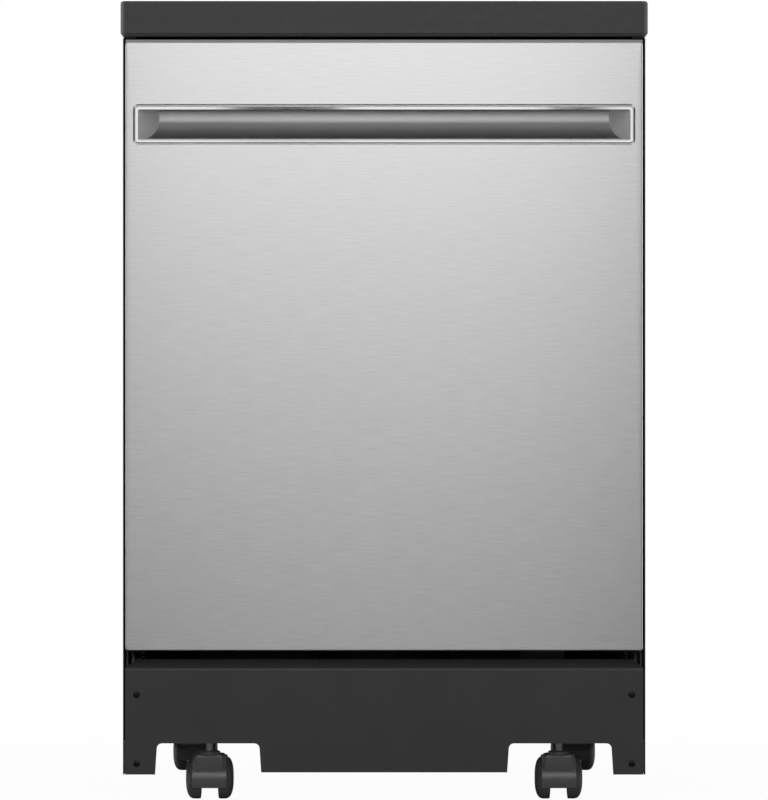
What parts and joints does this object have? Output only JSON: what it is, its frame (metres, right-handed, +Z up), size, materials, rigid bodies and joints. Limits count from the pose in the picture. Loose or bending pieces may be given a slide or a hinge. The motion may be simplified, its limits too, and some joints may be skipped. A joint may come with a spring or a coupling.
{
  "type": "portable dishwasher",
  "caption": "Free-standing portable dishwasher on swivel casters, with a bottom-hinged brushed steel door, recessed pocket handle, dark worktop and pull-out racks.",
  "frame": {"origin": "on the floor, under the middle of the worktop", "axes": "+Z up, the door faces -Y, +X to the right seen from the front"},
  "size_m": [0.609, 0.64, 0.927],
  "materials": {
    "worktop_laminate": "laminated, satin charcoal",
    "black_steel": "powder coated, fine texture",
    "panel_steel": "powder coated, satin",
    "black_screws": "black oxide",
    "zinc_steel": "zinc plated",
    "tub_steel": "fine brushed",
    "door_steel": "horizontally brushed",
    "bright_trim": "polished",
    "pocket_satin": "satin grey",
    "rail_steel": "bright",
    "spring_steel": "bright drawn",
    "heater_steel": "heat darkened",
    "filter_steel": "perforated",
    "seal_rubber": "matt",
    "felt": "needled felt",
    "grey_moulding": "moulded",
    "dark_moulding": "moulded",
    "black_moulding": "moulded, fine texture",
    "lid_moulding": "moulded",
    "basket_moulding": "moulded",
    "button_moulding": "moulded",
    "circuit_board": "solder mask",
    "rack_vinyl": "dip coated wire",
    "caster_nylon": "moulded, satin",
    "wheel_nylon": "moulded"
  },
  "bodies": {
    "cabinet": {"worktop": "worktop_laminate", "side_panel_left": "black_steel", "side_panel_right": "black_steel", "back_panel": "black_steel", "base_frame": "zinc_steel", "cabinet_frame": "zinc_steel", "base_pan": "grey_moulding", "access_panel": "panel_steel", "access_panel_screws": "black_screws", "caster_stems": "zinc_steel", "tub": "tub_steel", "tub_gasket": "seal_rubber", "sound_blanket": "felt", "hinge_brackets": "zinc_steel", "door_springs": "spring_steel", "door_strike": "spring_steel", "sump": "dark_moulding", "filter": "filter_steel", "circulation_pump": "dark_moulding", "drain_pump": "dark_moulding", "inlet_valve": "grey_moulding", "heating_element": "heater_steel", "water_feed_tube": "grey_moulding", "rack_rails": "rail_steel", "rear_connections": "grey_moulding"},
    "door": {"door_outer_panel": "door_steel", "door_liner": "tub_steel", "handle_bezel": "bright_trim", "handle_pocket": "pocket_satin", "control_console": "black_moulding", "control_board": "circuit_board", "door_hinge_arms": "zinc_steel", "latch_housing": "grey_moulding", "dispenser_body": "grey_moulding"},
    "latch_hook": {"latch_hook": "spring_steel"},
    "dispenser_lid": {"dispenser_lid": "lid_moulding"},
    "rinse_cap": {"rinse_cap": "lid_moulding"},
    "float": {"float_dome": "grey_moulding"},
    "impeller": {"pump_impeller": "dark_moulding"},
    "upper_rack": {"upper_rack": "rack_vinyl"},
    "upper_spray_arm": {"upper_spray_arm": "grey_moulding"},
    "lower_rack": {"lower_rack": "rack_vinyl", "silverware_basket": "basket_moulding"},
    "rollers_front": {"lower_rack_rollers_front": "lid_moulding"},
    "rollers_rear": {"lower_rack_rollers_rear": "lid_moulding"},
    "fold_tines": {"fold_tines": "rack_vinyl"},
    "lower_spray_arm": {"lower_spray_arm": "grey_moulding"},
    "button_power": {"button_power": "button_moulding"},
    "button_cycle": {"button_cycle": "button_moulding"},
    "button_heat": {"button_heat": "button_moulding"},
    "button_delay": {"button_delay": "button_moulding"},
    "button_start": {"button_start": "button_moulding"},
    "caster_front_left": {"caster_front_left_hood": "caster_nylon"},
    "caster_front_left_wheels": {"caster_front_left_wheels": "wheel_nylon"},
    "caster_front_right": {"caster_front_right_hood": "caster_nylon"},
    "caster_front_right_wheels": {"caster_front_right_wheels": "wheel_nylon"},
    "caster_rear_left": {"caster_rear_left_hood": "caster_nylon"},
    "caster_rear_left_wheels": {"caster_rear_left_wheels": "wheel_nylon"},
    "caster_rear_right": {"caster_rear_right_hood": "caster_nylon"},
    "caster_rear_right_wheels": {"caster_rear_right_wheels": "wheel_nylon"}
  },
  "joints": [
    {"name": "door_hinge", "type": "hinge", "parent": "cabinet", "child": "door", "pos_m": [0, -0.296, 0.199], "axis": [1, 0, 0], "range_deg": [0, 90], "stiffness_Nm_per_rad": 12, "deforming": ["door_springs"]},
    {"name": "upper_rack_slide", "type": "slide", "parent": "cabinet", "child": "upper_rack", "axis": [0, -1, 0], "range_m": [0, 0.45]},
    {"name": "lower_rack_slide", "type": "slide", "parent": "cabinet", "child": "lower_rack", "axis": [0, -1, 0], "range_m": [0, 0.46]},
    {"name": "upper_arm_spin", "type": "hinge", "parent": "upper_rack", "child": "upper_spray_arm", "pos_m": [0, 0, 0.566], "axis": [0, 0, 1], "continuous": true},
    {"name": "lower_arm_spin", "type": "hinge", "parent": "cabinet", "child": "lower_spray_arm", "pos_m": [0, 0.02, 0.232], "axis": [0, 0, 1], "continuous": true},
    {"name": "rollers_front_spin", "type": "hinge", "parent": "lower_rack", "child": "rollers_front", "pos_m": [0, -0.151, 0.2503], "axis": [1, 0, 0], "continuous": true},
    {"name": "rollers_rear_spin", "type": "hinge", "parent": "lower_rack", "child": "rollers_rear", "pos_m": [0, 0.189, 0.2503], "axis": [1, 0, 0], "continuous": true},
    {"name": "fold_tines_fold", "type": "hinge", "parent": "lower_rack", "child": "fold_tines", "pos_m": [0.06, 0, 0.269], "axis": [0, -1, 0], "range_deg": [0, 90]},
    {"name": "latch_hook_swing", "type": "hinge", "parent": "door", "child": "latch_hook", "pos_m": [0, -0.29, 0.868], "axis": [-1, 0, 0], "range_deg": [0, 9], "stiffness_Nm_per_rad": 0.3},
    {"name": "dispenser_lid_slide", "type": "slide", "parent": "door", "child": "dispenser_lid", "axis": [-1, 0, 0], "range_m": [0, 0.074]},
    {"name": "rinse_cap_turn", "type": "hinge", "parent": "door", "child": "rinse_cap", "pos_m": [0.05, -0.258, 0.486], "axis": [0, 1, 0], "range_deg": [0, 90]},
    {"name": "button_power_press", "type": "slide", "parent": "door", "child": "button_power", "axis": [0, 0, -1], "range_m": [0, 0.0015], "stiffness_N_per_m": 400},
    {"name": "button_cycle_press", "type": "slide", "parent": "door", "child": "button_cycle", "axis": [0, 0, -1], "range_m": [0, 0.0015], "stiffness_N_per_m": 400},
    {"name": "button_heat_press", "type": "slide", "parent": "door", "child": "button_heat", "axis": [0, 0, -1], "range_m": [0, 0.0015], "stiffness_N_per_m": 400},
    {"name": "button_delay_press", "type": "slide", "parent": "door", "child": "button_delay", "axis": [0, 0, -1], "range_m": [0, 0.0015], "stiffness_N_per_m": 400},
    {"name": "button_start_press", "type": "slide", "parent": "door", "child": "button_start", "axis": [0, 0, -1], "range_m": [0, 0.0015], "stiffness_N_per_m": 400},
    {"name": "float_lift", "type": "slide", "parent": "cabinet", "child": "float", "axis": [0, 0, 1], "range_m": [0, 0.012]},
    {"name": "impeller_spin", "type": "hinge", "parent": "cabinet", "child": "impeller", "pos_m": [-0.12, 0, 0.154], "axis": [1, 0, 0], "continuous": true},
    {"name": "caster_front_left_swivel", "type": "hinge", "parent": "cabinet", "child": "caster_front_left", "pos_m": [-0.204, -0.25, 0.05], "axis": [0, 0, 1], "continuous": true},
    {"name": "caster_front_left_roll", "type": "hinge", "parent": "caster_front_left", "child": "caster_front_left_wheels", "pos_m": [-0.204, -0.232, 0.025], "axis": [1, 0, 0], "continuous": true},
    {"name": "caster_front_right_swivel", "type": "hinge", "parent": "cabinet", "child": "caster_front_right", "pos_m": [0.204, -0.25, 0.05], "axis": [0, 0, 1], "continuous": true},
    {"name": "caster_front_right_roll", "type": "hinge", "parent": "caster_front_right", "child": "caster_front_right_wheels", "pos_m": [0.204, -0.232, 0.025], "axis": [1, 0, 0], "continuous": true},
    {"name": "caster_rear_left_swivel", "type": "hinge", "parent": "cabinet", "child": "caster_rear_left", "pos_m": [-0.2378, 0.205, 0.05], "axis": [0, 0, 1], "continuous": true},
    {"name": "caster_rear_left_roll", "type": "hinge", "parent": "caster_rear_left", "child": "caster_rear_left_wheels", "pos_m": [-0.2378, 0.223, 0.025], "axis": [1, 0, 0], "continuous": true},
    {"name": "caster_rear_right_swivel", "type": "hinge", "parent": "cabinet", "child": "caster_rear_right", "pos_m": [0.2378, 0.205, 0.05], "axis": [0, 0, 1], "continuous": true},
    {"name": "caster_rear_right_roll", "type": "hinge", "parent": "caster_rear_right", "child": "caster_rear_right_wheels", "pos_m": [0.2378, 0.223, 0.025], "axis": [1, 0, 0], "continuous": true}
  ],
  "couplings": [
    {"joint": "upper_rack_slide", "follows": "door_hinge", "m_per_rad": 0.286},
    {"joint": "lower_rack_slide", "follows": "door_hinge", "m_per_rad": 0.088}
  ]
}
